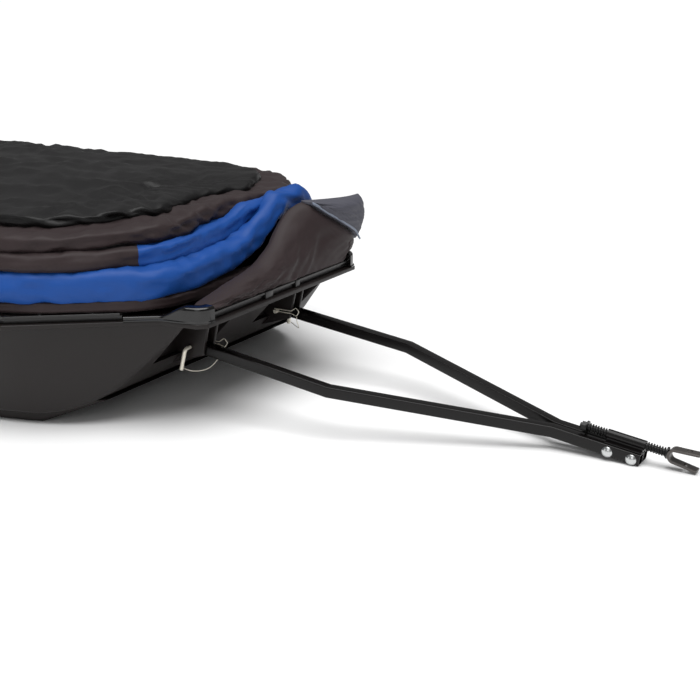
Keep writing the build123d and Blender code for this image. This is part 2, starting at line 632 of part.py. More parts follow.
def clevis():
    """U strap: half-round yoke and two square-ended prongs that open out a little."""
    s0 = CLEVIS_S + 0.3
    tip = CLEVIS_S + CLEVIS_TIP
    root = CLEVIS_ROOT_N + STRAP / 2
    centre_s = s0 + root
    ring = Pos(centre_s, 0, ROD_N) * Rot(90, 0, 0) * (
        Cylinder(root, STRAP_WIDTH) - Cylinder(root - STRAP, STRAP_WIDTH + 2))
    yoke = ring & (Pos(centre_s - 50, 0, ROD_N) * Box(100, STRAP_WIDTH + 4, 200))
    rise = CLEVIS_TIP_N - CLEVIS_ROOT_N
    profile = Polyline((centre_s, 0, ROD_N + root), (tip, 0, ROD_N + root + rise),
                       (tip, 0, ROD_N + root + rise - STRAP), (centre_s, 0, ROD_N + root - STRAP), close=True)
    prong = Pos(0, -STRAP_WIDTH / 2, 0) * extrude(make_face(profile), STRAP_WIDTH, dir=(0, 1, 0))
    shape = yoke + prong + mirror(prong, about=Plane(origin=(0, 0, ROD_N), z_dir=(0, 0, 1)))
    hole_s = CLEVIS_S + CLEVIS_HOLE
    return shape - bar(TOW_HOLE_R, (hole_s, 0, -20), (hole_s, 0, 80))


keep("clevis", HITCH * clevis())


# ---------------------------------------------------------------- pins, clips and lanyards
HANDLE_DROP = 52.0
HANDLE_BACK = 12.0
PIN_END = CLIP_Y - 7
BEND_R = 9.0


def pin():
    """Hitch pin, left side: straight shank, handle bent down outside the pocket, hooked end."""
    path = FilletPolyline((0, PIN_END, HINGE_Z), (0, HANDLE_Y + 8, HINGE_Z),
                          (-HANDLE_BACK, HANDLE_Y + 10, HINGE_Z - HANDLE_DROP), radius=BEND_R)
    section = Plane(origin=(0, PIN_END, HINGE_Z), z_dir=(0, 1, 0)) * Circle(PIN_R)
    body = sweep(section, path=path)
    return body - bar(CLIP_R + 0.25, (-20, CLIP_Y, HINGE_Z), (20, CLIP_Y, HINGE_Z))


pair("hitch_pin", HINGE * pin())
CLIP_BACK = 9.0
CLIP_NECK = 46.0
CLIP_REACH = 70.0
LEG_RISE = PIN_R + CLIP_R + 0.5


def clip():
    """R-shaped wire clip, left side: one leg through the pin, a round loop ahead, the other leg over the pin."""
    z = HINGE_Z
    corners = [(-CLIP_BACK, z), (CLIP_NECK, z), (CLIP_REACH - 8, z - 5), (CLIP_REACH, z + 7),
               (CLIP_REACH - 9, z + 17), (CLIP_NECK, z + LEG_RISE), (-CLIP_BACK + 4, z + LEG_RISE)]
    path = FilletPolyline(*[(x, CLIP_Y, height) for x, height in corners], radius=4.5)
    section = Plane(origin=(-CLIP_BACK, CLIP_Y, z), z_dir=(1, 0, 0)) * Circle(CLIP_R)
    return sweep(section, path=path)


pair("pin_clip", HINGE * clip())

LANYARD_R = 1.0
LANYARD = [(-7, 231, 107), (4, 229, 103), (18, 222, 100), (35, 208, 101), (46, 194, 107), (52, 180, 118),
           (56, 168, 131), (60, 160, 142), (62.5, 157.5, 147)]


def lanyard():
    """Steel wire from the pin's handle, under the arm, to the clip's loop: straight runs and arcs."""
    points = [Vector(*p) for p in LANYARD]
    radii = []
    for before, here, after in zip(points, points[1:], points[2:]):
        turn = radians((here - before).get_angle(after - here))
        radii.append(0.45 * min((here - before).length, (after - here).length) / tan(turn / 2))
    path = FilletPolyline(*LANYARD, radius=radii)
    section = Plane(origin=LANYARD[0], z_dir=points[1] - points[0]) * Circle(LANYARD_R)
    wire = sweep(section, path=path)
    length = sum(edge.length for edge in path.edges())
    print("lanyard length", round(length, 2), "radii", [round(r, 1) for r in radii],
          "volume ratio", round(wire.volume / (pi * LANYARD_R ** 2 * length), 4))
    return wire


pair("pin_lanyard", HINGE * lanyard())

for name, solids in nodes.items():
    shape = solids[0] if len(solids) == 1 else Compound(children=solids)
    export_step(shape, f"parts/{name}.step")

print("hinge x", round(HINGE_X, 3), "nodes", len(nodes))
tow_s = CLEVIS_S + CLEVIS_HOLE
tow = HITCH * Pos(tow_s, 0, ROD_N)
print("tow hole", tow.position, "sleeve axis at", (HITCH * Pos(SLEEVE[0], 0, ROD_N)).position)
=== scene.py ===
"""Towed shelter sled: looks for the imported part, with a soft studio round it.

Metres. The frame's axes: +X forward to the tow clevis, +Y to the sled's left side, +Z up.
"""
import json
import logging
import math
from dataclasses import dataclass
from enum import Enum
from typing import Callable, Sequence

import bmesh
import bpy
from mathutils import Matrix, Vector, noise

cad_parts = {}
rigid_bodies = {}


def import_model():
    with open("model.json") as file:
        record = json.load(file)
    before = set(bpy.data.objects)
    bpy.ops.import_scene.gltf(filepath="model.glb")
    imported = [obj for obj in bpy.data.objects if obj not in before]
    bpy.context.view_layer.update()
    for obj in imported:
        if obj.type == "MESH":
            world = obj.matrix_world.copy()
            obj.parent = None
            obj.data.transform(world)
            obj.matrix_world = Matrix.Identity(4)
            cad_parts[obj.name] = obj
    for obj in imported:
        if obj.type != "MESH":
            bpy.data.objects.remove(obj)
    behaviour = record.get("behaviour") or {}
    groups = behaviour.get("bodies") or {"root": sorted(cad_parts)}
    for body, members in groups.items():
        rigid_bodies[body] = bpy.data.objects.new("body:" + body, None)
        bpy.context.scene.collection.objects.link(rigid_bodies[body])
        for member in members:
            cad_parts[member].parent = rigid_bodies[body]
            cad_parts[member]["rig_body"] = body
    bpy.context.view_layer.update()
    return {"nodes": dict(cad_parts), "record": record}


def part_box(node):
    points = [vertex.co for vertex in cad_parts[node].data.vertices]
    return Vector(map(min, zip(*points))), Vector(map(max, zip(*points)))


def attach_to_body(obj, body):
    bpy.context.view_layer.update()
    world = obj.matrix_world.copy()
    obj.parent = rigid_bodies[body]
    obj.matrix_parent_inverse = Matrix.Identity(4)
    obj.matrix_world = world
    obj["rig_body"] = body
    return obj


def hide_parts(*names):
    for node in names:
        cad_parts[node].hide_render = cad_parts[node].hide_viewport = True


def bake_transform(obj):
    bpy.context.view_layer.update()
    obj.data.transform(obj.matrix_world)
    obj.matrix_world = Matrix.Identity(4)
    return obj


LOG = logging.getLogger("sled")
MM = 0.001
HINGE_X = 0.32351        # hitch hinge in the frame
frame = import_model()


# ------------------------------------------------------------------ finishes
class Pattern(Enum):
    """Surface texture of a finish."""

    SMOOTH = "smooth"
    GRAIN = "grain"
    WEAVE = "weave"
    BRUSHED = "brushed"


@dataclass(frozen=True)
class Finish:
    """One real finish: colour as an sRGB hex, shine, and a bump pattern sized in millimetres."""

    name: str
    colour: str
    roughness: float
    metallic: float = 0.0
    coat: float = 0.0
    sheen: float = 0.0
    pattern: Pattern = Pattern.SMOOTH
    pattern_mm: float = 1.0
    relief: float = 0.1
    mottle: float = 0.0
    mottle_mm: float = 60.0
    specular: float = 0.5


# Rotomoulded polyethylene, faintly pebbled and a little shiny
TUB_PLASTIC = Finish("moulded polyethylene, charcoal", "#181312", 0.44, pattern=Pattern.GRAIN, pattern_mm=2.2,
                     relief=0.06, mottle=0.12, mottle_mm=90, specular=0.34)
# Injection moulded corner caps, polished
CAP_PLASTIC = Finish("polished black moulding", "#080707", 0.16, coat=0.35, mottle=0.08, specular=0.4)
# Aluminium fabric rails with a satin black coat
RAIL_BLACK = Finish("satin black rail", "#0d0b0b", 0.34, coat=0.08, pattern=Pattern.GRAIN,
                    pattern_mm=0.8, relief=0.03)
# Powder coat on the hitch's square tube
HITCH_BLACK = Finish("semi-gloss black powder coat", "#090707", 0.27, pattern=Pattern.GRAIN, pattern_mm=1.1,
                     relief=0.05, specular=0.3)
# Chemically blacked spring steel and rod
BLACK_STEEL = Finish("black oxide steel", "#0f0f0f", 0.36, metallic=0.3)
# Zinc plate on bolts, nuts and screws
ZINC = Finish("bright zinc plate", "#c9cbcb", 0.24, metallic=1.0, pattern=Pattern.BRUSHED,
              pattern_mm=0.6, relief=0.03)
# Yellow-tinged zinc on pins, clips and lanyard wire
PIN_ZINC = Finish("pale yellow zinc plate", "#efe9da", 0.3, metallic=0.35)
# Plated clevis strap, greyer than the coupler
STRAP_STEEL = Finish("dark plated strap", "#55514f", 0.38, metallic=0.6, pattern=Pattern.BRUSHED,
                     pattern_mm=1.0, relief=0.04)
# Coated polyester shelter cloth
BROWN_CLOTH = Finish("dark brown coated polyester", "#2b2021", 0.6, sheen=0.06, pattern=Pattern.WEAVE,
                     pattern_mm=0.9, relief=0.12, mottle=0.1, mottle_mm=45)
BLUE_CLOTH = Finish("blue coated polyester", "#0d4590", 0.55, sheen=0.04, pattern=Pattern.WEAVE,
                    pattern_mm=0.9, relief=0.12, mottle=0.08, mottle_mm=50)
GREY_CLOTH = Finish("grey coated polyester", "#4c4c55", 0.55, sheen=0.05, pattern=Pattern.WEAVE,
                    pattern_mm=0.9, relief=0.12, mottle=0.06)
BLACK_CLOTH = Finish("black coated polyester", "#080708", 0.5, sheen=0.03, pattern=Pattern.WEAVE,
                     pattern_mm=0.9, relief=0.15, mottle=0.1)
PIPING_GREY = Finish("pale grey piping cord", "#7f8796", 0.5, sheen=0.05, pattern=Pattern.WEAVE,
                     pattern_mm=0.7)
# Seat covers
SEAT_VINYL = Finish("black grained vinyl", "#0d0c0c", 0.5, pattern=Pattern.GRAIN,
                    pattern_mm=1.6, relief=0.1)
STAGE_WHITE = Finish("white studio floor", "#f4f4f4", 0.75)

SLOT_FINISH = {
    "tub_plastic": TUB_PLASTIC, "cap_plastic": CAP_PLASTIC, "rail_black": RAIL_BLACK,
    "hitch_black": HITCH_BLACK,
    "black_steel": BLACK_STEEL, "zinc_steel": ZINC, "pin_zinc": PIN_ZINC, "bare_steel": STRAP_STEEL,
    "brown_fabric": BROWN_CLOTH, "blue_fabric": BLUE_CLOTH, "grey_fabric": GREY_CLOTH,
    "black_fabric": BLACK_CLOTH,
    "pole_steel": RAIL_BLACK, "frame_black": RAIL_BLACK, "seat_vinyl": SEAT_VINYL,
}


def linear(code: str) -> tuple[float, float, float, float]:
    """Turn an sRGB hex colour into linear RGBA.

    Args:
        code: colour such as "#1e53a8".

    Returns:
        Linear red, green, blue and alpha.
    """
    parts = [int(code[i:i + 2], 16) / 255 for i in (1, 3, 5)]
    return (*[p / 12.92 if p <= 0.04045 else ((p + 0.055) / 1.055) ** 2.4 for p in parts], 1.0)


class Paint:
    """Builds one Blender material for each finish, and keeps it for reuse."""

    CLOTH_SPECULAR = 0.3

    def __init__(self) -> None:
        """Start with no materials made."""
        self.made: dict[str, bpy.types.Material] = {}

    def material(self, finish: Finish) -> bpy.types.Material:
        """Give the finish's material, built on first use.

        Args:
            finish: the finish to build.

        Returns:
            The node material.
        """
        if finish.name in self.made:
            return self.made[finish.name]
        mat = bpy.data.materials.new(finish.name)
        mat.use_nodes = True
        tree = mat.node_tree
        shader = tree.nodes["Principled BSDF"]
        shader.inputs["Base Color"].default_value = linear(finish.colour)
        shader.inputs["Roughness"].default_value = finish.roughness
        shader.inputs["Metallic"].default_value = finish.metallic
        shader.inputs["Coat Weight"].default_value = finish.coat
        shader.inputs["Coat Roughness"].default_value = 0.12
        shader.inputs["Sheen Weight"].default_value = finish.sheen
        shader.inputs["Sheen Roughness"].default_value = 0.4
        specular = self.CLOTH_SPECULAR if finish.pattern is Pattern.WEAVE else finish.specular
        shader.inputs["Specular IOR Level"].default_value = specular
        where = self.node(tree, "ShaderNodeTexCoord").outputs["Object"]
        if finish.mottle:
            self.mottle(tree, shader, where, finish)
        if finish.pattern is not Pattern.SMOOTH:
            self.relief(tree, shader, where, finish)
        self.made[finish.name] = mat
        return mat

    @staticmethod
    def node(tree: bpy.types.NodeTree, kind: str, links: dict | None = None,
             **values: float) -> bpy.types.Node:
        """Add one node, set its sockets by name and link its inputs.

        Args:
            tree: tree to add to.
            kind: node type.
            links: input name to output socket.
            values: input name (underscores for spaces) to constant.

        Returns:
            The new node.
        """
        made = tree.nodes.new(kind)
        for name, value in values.items():
            made.inputs[name.replace("_", " ")].default_value = value
        for name, source in (links or {}).items():
            tree.links.new(source, made.inputs[name])
        return made

    def mottle(self, tree: bpy.types.NodeTree, shader: bpy.types.Node, where: bpy.types.NodeSocket,
               finish: Finish) -> None:
        """Vary the colour and the shine gently over the surface."""
        cloud = self.node(tree, "ShaderNodeTexNoise", {"Vector": where},
                          Scale=1000 / finish.mottle_mm, Detail=4.0)
        mix = self.node(tree, "ShaderNodeMix", {"Factor": cloud.outputs["Fac"]})
        mix.data_type = "RGBA"
        base = linear(finish.colour)
        low = tuple(c * (1 - finish.mottle) for c in base[:3]) + (1.0,)
        high = tuple(min(1.0, c * (1 + finish.mottle)) for c in base[:3]) + (1.0,)
        mix.inputs[6].default_value = low
        mix.inputs[7].default_value = high
        tree.links.new(cloud.outputs["Fac"], mix.inputs[0])
        tree.links.new(mix.outputs[2], shader.inputs["Base Color"])
        spread = self.node(tree, "ShaderNodeMapRange", {"Value": cloud.outputs["Fac"]})
        spread.inputs["To Min"].default_value = max(0.05, finish.roughness - finish.mottle * 0.5)
        spread.inputs["To Max"].default_value = min(1.0, finish.roughness + finish.mottle * 0.5)
        tree.links.new(spread.outputs["Result"], shader.inputs["Roughness"])

    def relief(self, tree: bpy.types.NodeTree, shader: bpy.types.Node, where: bpy.types.NodeSocket,
               finish: Finish) -> None:
        """Add the fine bump: pebbles, a plain weave or fine scratches."""
        scale = 1000 / finish.pattern_mm
        if finish.pattern is Pattern.WEAVE:
            waves = []
            for axis in ("X", "Z"):
                wave = self.node(tree, "ShaderNodeTexWave", {"Vector": where}, Scale=scale / 6.2832 * 1.0,
                                 Distortion=1.2, Detail=1.0)
                wave.bands_direction = axis
                waves.append(wave.outputs["Fac"])
            both = self.node(tree, "ShaderNodeMath", {})
            both.operation = "MULTIPLY"
            tree.links.new(waves[0], both.inputs[0])
            tree.links.new(waves[1], both.inputs[1])
            height = both.outputs[0]
        else:
            stretch = self.node(tree, "ShaderNodeMapping", {"Vector": where})
            brushed = finish.pattern is Pattern.BRUSHED
            stretch.inputs["Scale"].default_value = (0.15, 1, 1) if brushed else (1, 1, 1)
            grain = self.node(tree, "ShaderNodeTexNoise", {"Vector": stretch.outputs["Vector"]}, Scale=scale,
                              Detail=2.0)
            height = grain.outputs["Fac"]
        bump = self.node(tree, "ShaderNodeBump", {"Height": height}, Strength=finish.relief,
                         Distance=finish.pattern_mm * MM * 0.5)
        tree.links.new(bump.outputs["Normal"], shader.inputs["Normal"])


PAINT = Paint()


# ------------------------------------------------------------------ mesh helpers
def ease(t: float) -> float:
    """Smooth step from 0 to 1 for t from 0 to 1."""
    t = min(1.0, max(0.0, t))
    return t * t * (3 - 2 * t)


def through(points: Sequence[tuple[float, float]], at: float, blur: float = 0.014) -> float:
    """Height of a softened line through points.

    Args:
        points: (place, height) pairs at rising places.
        at: place to read.
        blur: half width over which the line is softened.

    Returns:
        The height there.
    """
    def straight(x: float) -> float:
        """Height of the unsoftened line."""
        if x <= points[0][0]:
            return points[0][1]
        for (x0, z0), (x1, z1) in zip(points, points[1:]):
            if x <= x1:
                return z0 + (z1 - z0) * (x - x0) / (x1 - x0)
        return points[-1][1]
    return sum(straight(at + blur * k / 3) for k in range(-3, 4)) / 7


def crumple(made: bpy.types.Object, hold: Callable[[Vector], float], frames: int = 9,
            grow: float = 0.032) -> None:
    """Let cloth that is a little too big for its place settle into wrinkles, then keep that shape.

    Args:
        made: mesh object at the origin.
        hold: how firmly each point is held, from 0, free, to 1, fixed.
        frames: simulated frames.
        grow: share by which the cloth is larger than its place.
    """
    group = made.vertex_groups.new(name="held")
    for v in made.data.vertices:
        group.add([v.index], hold(v.co), "REPLACE")
    cloth = made.modifiers.new("cloth", "CLOTH")
    cloth.settings.quality = 4
    cloth.settings.mass = 0.12
    cloth.settings.tension_stiffness = 12
    cloth.settings.compression_stiffness = 12
    cloth.settings.shear_stiffness = 4
    cloth.settings.bending_stiffness = 2.5
    cloth.settings.air_damping = 4
    cloth.settings.vertex_group_mass = "held"
    cloth.settings.pin_stiffness = 1.0
    cloth.settings.shrink_min = -grow
    cloth.settings.effector_weights.gravity = 0.25
    cloth.collision_settings.use_collision = False
    cloth.point_cache.frame_start, cloth.point_cache.frame_end = 1, frames
    scene = bpy.context.scene
    for number in range(1, frames + 1):
        scene.frame_set(number)
    ready = made.evaluated_get(bpy.context.evaluated_depsgraph_get())
    places = [v.co.copy() for v in ready.data.vertices]
    made.modifiers.remove(cloth)
    for v, place in zip(made.data.vertices, places):
        v.co = place
    made.vertex_groups.clear()
    scene.frame_set(1)
    bm = bmesh.new()
    bm.from_mesh(made.data)
    bmesh.ops.smooth_vert(bm, verts=bm.verts, factor=0.5, use_axis_x=True, use_axis_y=True,
                          use_axis_z=True)
    bm.to_mesh(made.data)
    bm.free()


def finish_mesh(name: str, bm: bmesh.types.BMesh, finish: Finish,
                sharp: float | None = None) -> bpy.types.Object:
    """Turn a bmesh into a shaded object at the origin.

    Args:
        name: object name.
        bm: geometry in the frame's coordinates; it is freed.
        finish: finish to give it.
        sharp: edges that bend by more than this angle (degrees) stay crisp; None for smooth all over.

    Returns:
        The new object.
    """
    for face in bm.faces:
        face.smooth = True
    for edge in bm.edges:
        if sharp is not None and len(edge.link_faces) == 2:
            edge.smooth = edge.calc_face_angle(0.0) < math.radians(sharp)
    mesh = bpy.data.meshes.new(name)
    bm.to_mesh(mesh)
    bm.free()
    mesh.materials.append(PAINT.material(finish))
    made = bpy.data.objects.new(name, mesh)
    bpy.context.scene.collection.objects.link(made)
    return made


def attach(made: bpy.types.Object, nodes: Sequence[str], body: str | None = None) -> bpy.types.Object:
    """Let a piece stand for CAD nodes: it rides their body, and the nodes are hidden.

    Args:
        made: the detailed piece.
        nodes: CAD nodes that it replaces; the first gives its body.
        body: body to ride on, or None to take the first node's.

    Returns:
        The same piece.
    """
    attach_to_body(made, body or frame["nodes"][nodes[0]]["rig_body"])
    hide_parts(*nodes)
    return made


# ------------------------------------------------------------------ hard pieces
@dataclass(frozen=True)
class Edging:
    """How a hard CAD node's edges are rounded."""

    width: float = 0.6 * MM
    shortest: float = 4 * MM
    segments: int = 2
    bend: float = 35.0


class HardPieces:
    """Hard CAD nodes, redrawn with rounded edges and their finishes."""

    EDGINGS = {
        "tub": Edging(2.6 * MM, 9 * MM, 3, 30),
        "hitch_arm_left": Edging(2.4 * MM, 60 * MM, 4), "hitch_arm_right": Edging(2.4 * MM, 60 * MM, 4),
        "clevis": Edging(0.9 * MM, 6 * MM, 2),
        "coupler_bracket": Edging(0.6 * MM, 6 * MM, 2),
    }
    RAILS = Edging(1.6 * MM, 15 * MM, 3)
    CHINE_BEAD = 9 * MM
    PLAIN = ("rear_spring", "front_spring", "pin_lanyard_left", "pin_lanyard_right")
    SOFT_SLOTS = ("brown_fabric", "blue_fabric", "grey_fabric", "black_fabric", "seat_vinyl")

    def __init__(self) -> None:
        """Read each node's material slot from the frame."""
        self.slots = {part["node"]: part["material_slot"] for part in frame["record"]["subparts"]}

    def build(self) -> int:
        """Redraw every hard node.

        Returns:
            How many nodes were drawn.
        """
        count = 0
        for node, slot in self.slots.items():
            if slot in self.SOFT_SLOTS or node in self.PLAIN or node.startswith("front_cap"):
                continue
            edging = self.EDGINGS.get(node)
            if edging is None and "rail" in node and "screws" not in node:
                edging = self.RAILS
            self.redraw(node, SLOT_FINISH[slot], edging)
            count += 1
        return count

    @staticmethod
    def on_chine(edge: bmesh.types.BMEdge) -> bool:
        """Whether an edge lies where the tub's side turns under into its bottom or bow plate."""
        if len(edge.link_faces) != 2 or not edge.is_convex or edge.calc_face_angle(0.0) < math.radians(25):
            return False
        middle = (edge.verts[0].co + edge.verts[1].co) / 2
        sides = sorted(abs(f.normal.y) for f in edge.link_faces)
        down = min(f.normal.z for f in edge.link_faces)
        low_on_side = abs(middle.y) > 0.3 and middle.z < 0.235
        return low_on_side and sides[1] > 0.5 and sides[0] < 0.2 and down < -0.25

    def redraw(self, node: str, finish: Finish, edging: Edging | None) -> bpy.types.Object:
        """Copy one node, join its split faces, round its outer edges and paint it."""
        bm = bmesh.new()
        bm.from_mesh(frame["nodes"][node].data)
        bmesh.ops.remove_doubles(bm, verts=bm.verts, dist=2e-6)
        bmesh.ops.recalc_face_normals(bm, faces=bm.faces)
        if edging:
            bmesh.ops.dissolve_limit(bm, angle_limit=math.radians(0.5), verts=bm.verts, edges=bm.edges,
                                     delimit={"NORMAL"})
            chosen = [e for e in bm.edges if len(e.link_faces) == 2 and e.is_convex
                      and e.calc_face_angle(0.0) > math.radians(edging.bend)
                      and e.calc_length() > edging.shortest]
            if node == "tub":
                chine = [e for e in bm.edges if self.on_chine(e)]
                bmesh.ops.bevel(bm, geom=chine, offset=self.CHINE_BEAD, offset_type="OFFSET",
                                segments=5, profile=0.5, affect="EDGES", material=-1, clamp_overlap=False)
                chosen = [e for e in chosen if e.is_valid and e not in chine]
            if chosen:
                bmesh.ops.bevel(bm, geom=chosen, offset=edging.width, offset_type="OFFSET",
                                segments=edging.segments, profile=0.5, affect="EDGES", material=-1,
                                clamp_overlap=False)
            bmesh.ops.triangulate(bm, faces=[f for f in bm.faces if len(f.verts) > 4])
        return attach(finish_mesh(node + "_look", bm, finish, 28), [node])


# ------------------------------------------------------------------ fabric
@dataclass(frozen=True)
class Outline:
    """Plan of the folded shelter: half outline in metres from the frame's origin, and its corner rounding."""

    half: tuple[tuple[float, float], ...]
    radius: float
    step: float = 0.014

    def loop(self) -> list[Vector]:
        """Closed, evenly stepped plan line, starting amidships at the bow and going to the right first."""
        right = [Vector((x, -y, 0)) for x, y in self.half]
        left = [Vector((x, y, 0)) for x, y in reversed(self.half)]
        corners = right + left
        dense: list[Vector] = []
        count = len(corners)
        for i, corner in enumerate(corners):
            before, after = corners[i - 1], corners[(i + 1) % count]
            a, b = (before - corner), (after - corner)
            reach = min(self.radius, 0.45 * a.length, 0.45 * b.length)
            p0, p2 = corner + a.normalized() * reach, corner + b.normalized() * reach
            for k in range(25):
                t = k / 24
                dense.append(p0 * (1 - t) ** 2 + corner * 2 * t * (1 - t) + p2 * t * t)
        start = max(range(len(dense)), key=lambda i: (dense[i].x, dense[i].y > 0))
        dense = dense[start:] + dense[:start]
        lengths = [0.0]
        for p, q in zip(dense, dense[1:] + dense[:1]):
            lengths.append(lengths[-1] + (q - p).length)
        total = lengths[-1]
        wanted = int(total / self.step)
        out, j = [], 0
        ring = dense + [dense[0]]
        for k in range(wanted):
            d = total * k / wanted
            while lengths[j + 1] < d:
                j += 1
            share = (d - lengths[j]) / max(1e-9, lengths[j + 1] - lengths[j])
            out.append(ring[j].lerp(ring[j + 1], share))
        return out


@dataclass(frozen=True)
class LayerSize:
    """One folded layer: where it lies and how its edge rolls, in metres."""

    inset: float
    low: float
    high: float
    lobes: int
    roll: float
    rings: int = 34
    sag: float = 0.006
    crease: float = 0.004
    climb: float = 0.0
    tuck: float = 0.0
    seed: float = 0.0
    cover: bool = False
    depth: float = 0.15
    front_finish: Finish | None = None


class FabricLayer:
    """A closed, folded band or blanket of cloth on the rim."""

    def __init__(self, name: str, size: LayerSize, finish: Finish, nodes: Sequence[str]) -> None:
        """Keep the layer's name, sizes, finish and the CAD nodes that it replaces."""
        self.name, self.size, self.finish, self.nodes = name, size, finish, nodes

    def spine(self, p: Vector) -> Vector:
        """Point of the pile's centre line that a rim point folds towards."""
        return Vector((min(HINGE_X - 0.35, max(HINGE_X - 1.45, p.x)), 0, 0))

    def profile(self) -> list[tuple[float, float]]:
        """Closed section as (inwards, up), from the inner foot out, round the lobes and back."""
        s = self.size
        points = [(s.depth * (1 - k / 6), 0.0) for k in range(6)]
        height = s.high - s.low
        for lobe in range(s.lobes):
            low, high = height * lobe / s.lobes, height * (lobe + 1) / s.lobes
            for k in range(13):
                t = (k + 0.5) / 13
                swell = (1 - abs(2 * t - 1) ** 2.3) ** (1 / 2.3)
                points.append((s.roll * (1 - swell) + 0.004 * lobe, low + (high - low) * t))
        points += [(0.02 + s.roll + (s.depth - 0.02 - s.roll) * k / 8, height) for k in range(9)]
        return points

    CLIMB = ((-0.3, 0.0), (-0.17, 0.004), (-0.08, 0.011), (0.01, 0.032), (0.064, 0.06), (0.108, 0.1),
             (0.15, 0.112), (0.24, 0.1), (0.33, 0.0))

    @staticmethod
    def at_bow(x: float) -> float:
        """Share, from 0 on the sides to 1 along the bow."""
        return ease((x - (HINGE_X - 0.13)) / 0.15)

    def lift(self, x: float, y: float) -> float:
        """How much the layer climbs at the bow, behind the front panel."""
        return min(self.size.climb, through(self.CLIMB, y, 0.03)) * self.at_bow(x)

    def bumps(self, p: Vector, along: float, across: float) -> float:
        """Crease height at a place on the cloth."""
        s = self.size
        seed = Vector((s.seed, s.seed * 1.7, s.seed * 0.6))
        long_folds = noise.noise(Vector((along * 2.2, across * 26, 0)) + seed)
        slanted = Vector((along * 9 + across * 14, across * 12 - along * 3, 2))
        slant = 1 - abs(noise.noise(slanted + seed)) * 2.4
        pulls = 1 - abs(noise.noise(Vector((along * 17 - across * 16, across * 20, 5)) + seed)) * 3
        patch = ease(noise.noise(Vector((along * 2.1, across * 3, 9)) + seed) * 1.6 + 0.5)
        fine = noise.noise(p * 70 + seed)
        return s.crease * (0.9 * long_folds + 0.45 * slant + 0.6 * pulls * patch) + 0.0011 * fine

    def build(self, plan: Outline) -> bpy.types.Object:
        """Model the layer and attach it to the sled."""
        s = self.size
        loop = plan.loop()
        section = self.profile()
        bm = bmesh.new()
        rows = []
        travelled = 0.0
        for i, p in enumerate(loop):
            travelled += (p - loop[i - 1]).length if i else 0.0
            inward = self.spine(p) - p
            reach = inward.length
            inward.normalize()
            wave = s.sag * noise.noise(Vector((travelled * 1.7, s.seed, 0)))
            bow = self.at_bow(p.x)
            edge = s.inset + 0.008 * noise.noise(Vector((travelled * 2.3, s.seed, 4))) + s.tuck * bow
            row = []
            for j, (dr, dz) in enumerate(section):
                d = edge + (dr if s.cover else dr * (1 - 0.55 * bow))
                if s.cover and dr >= s.depth * 0.98 and dz > 0:
                    d = min(reach, d)
                q = p + inward * d
                z = s.low + dz + wave + self.lift(q.x, q.y)
                row.append([q, z, travelled, j])
            rows.append(row)
        grid = []
        for i, row in enumerate(rows):
            line = []
            for q, z, along, j in row:
                line.append(bm.verts.new((q.x, q.y, z)))
            grid.append(line)
        count, wide = len(grid), len(section)
        for i in range(count):
            a, b = grid[i], grid[(i + 1) % count]
            for j in range(wide):
                k = (j + 1) % wide
                if s.cover and j == wide - 1:
                    continue
                face = bm.faces.new((a[j], b[j], b[k], a[k]))
                face.material_index = int(s.front_finish is not None and loop[i].x > HINGE_X + 0.004)
        if s.cover:
            self.blanket(bm, grid, wide)
        bmesh.ops.recalc_face_normals(bm, faces=bm.faces)
        bm.normal_update()
        for i, line in enumerate(grid):
            for j, vert in enumerate(line):
                along, across = rows[i][j][2], j * 0.009
                fade = min(1.0, j / 5)
                vert.co += vert.normal * self.bumps(vert.co, along, across) * fade
        made = finish_mesh(self.name, bm, self.finish)
        crumple(made, self.hold)
        if s.front_finish:
            made.data.materials.append(PAINT.material(s.front_finish))
        attach(made, self.nodes)
        return made

    def hold(self, place: Vector) -> float:
        """How firmly a point of the layer is held while it settles: the inner part and the foot stay."""
        spot = Vector((place.x, place.y, 0))
        inward = (self.spine(spot) - spot).length
        shell = 0.5 - inward if abs(place.y) < 0.45 else 0.566 - abs(place.y)
        return 0.5 + 0.5 * ease((place.z < self.size.low + 0.008) * 1.0) if shell < 0.2 else 0.7

    def blanket(self, bm: bmesh.types.BMesh, grid: list, wide: int) -> None:
        """Close a covering layer over the top, and underneath, with rings that shrink to the centre line."""
        s = self.size
        for column, sign in ((wide - 1, 1), (0, -1)):
            previous = [line[column] for line in grid]
            steps = 14 if sign > 0 else 4
            outer = [v.co.copy() for v in previous]
            for k in range(1, steps + 1):
                share = k / steps
                ring = []
                for v in outer:
                    target = self.spine(Vector((v.x, v.y, 0)))
                    x, y = v.x + (target.x - v.x) * share * 0.995, v.y + (target.y - v.y) * share * 0.995
                    swell = 0.0
                    if sign > 0:
                        ridge = noise.noise(Vector((x * 5, y * 7, s.seed))) + 0.6 * (
                            1 - abs(noise.noise(Vector((x * 11 + y * 6, y * 13, s.seed + 3)))) * 2.5)
                        swell = 0.012 * ridge * ease(share * 3) + 0.01 * math.sin(share * math.pi / 2)
                    ring.append(bm.verts.new((x, y, v.z + swell)))
                for i in range(len(ring)):
                    n = (i + 1) % len(ring)
                    bm.faces.new((previous[i], previous[n], ring[n], ring[i]))
                previous = ring
            bmesh.ops.remove_doubles(bm, verts=previous, dist=0.004)


